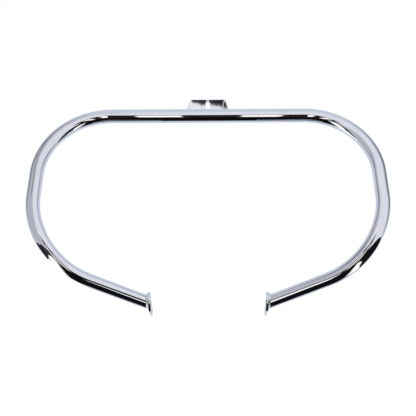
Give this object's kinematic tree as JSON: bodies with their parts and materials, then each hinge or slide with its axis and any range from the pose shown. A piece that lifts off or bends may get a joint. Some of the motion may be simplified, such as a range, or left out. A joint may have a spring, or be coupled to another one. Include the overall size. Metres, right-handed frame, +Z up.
{
  "type": "motorcycle crash bar",
  "caption": "Chrome tube bent into a wide loop that guards a motorcycle's engine, with a slotted upper bracket and an eye tab at each lower end.",
  "frame": {"origin": "middle of the upper bracket's slot, on the bracket's seat", "axes": "+X to the bar's right along its widest extent, +Y from the bar to the motorcycle, square to the bracket's seat, +Z up along the motorcycle's downtubes"},
  "size_m": [0.8048, 0.1755, 0.5032],
  "materials": {
    "chrome_tube": "polished chrome plate on bent steel tube",
    "chrome_plate": "chrome plate on cut steel plate",
    "chrome_weld": "chrome plate over weld beads, slightly rippled"
  },
  "bodies": {
    "root": {"main_tube": "chrome_tube", "upper_bracket": "chrome_plate", "left_tab": "chrome_plate", "right_tab": "chrome_plate", "left_tab_weld": "chrome_weld", "right_tab_weld": "chrome_weld", "bracket_weld_upper": "chrome_weld", "bracket_weld_lower": "chrome_weld"}
  },
  "joints": []
}
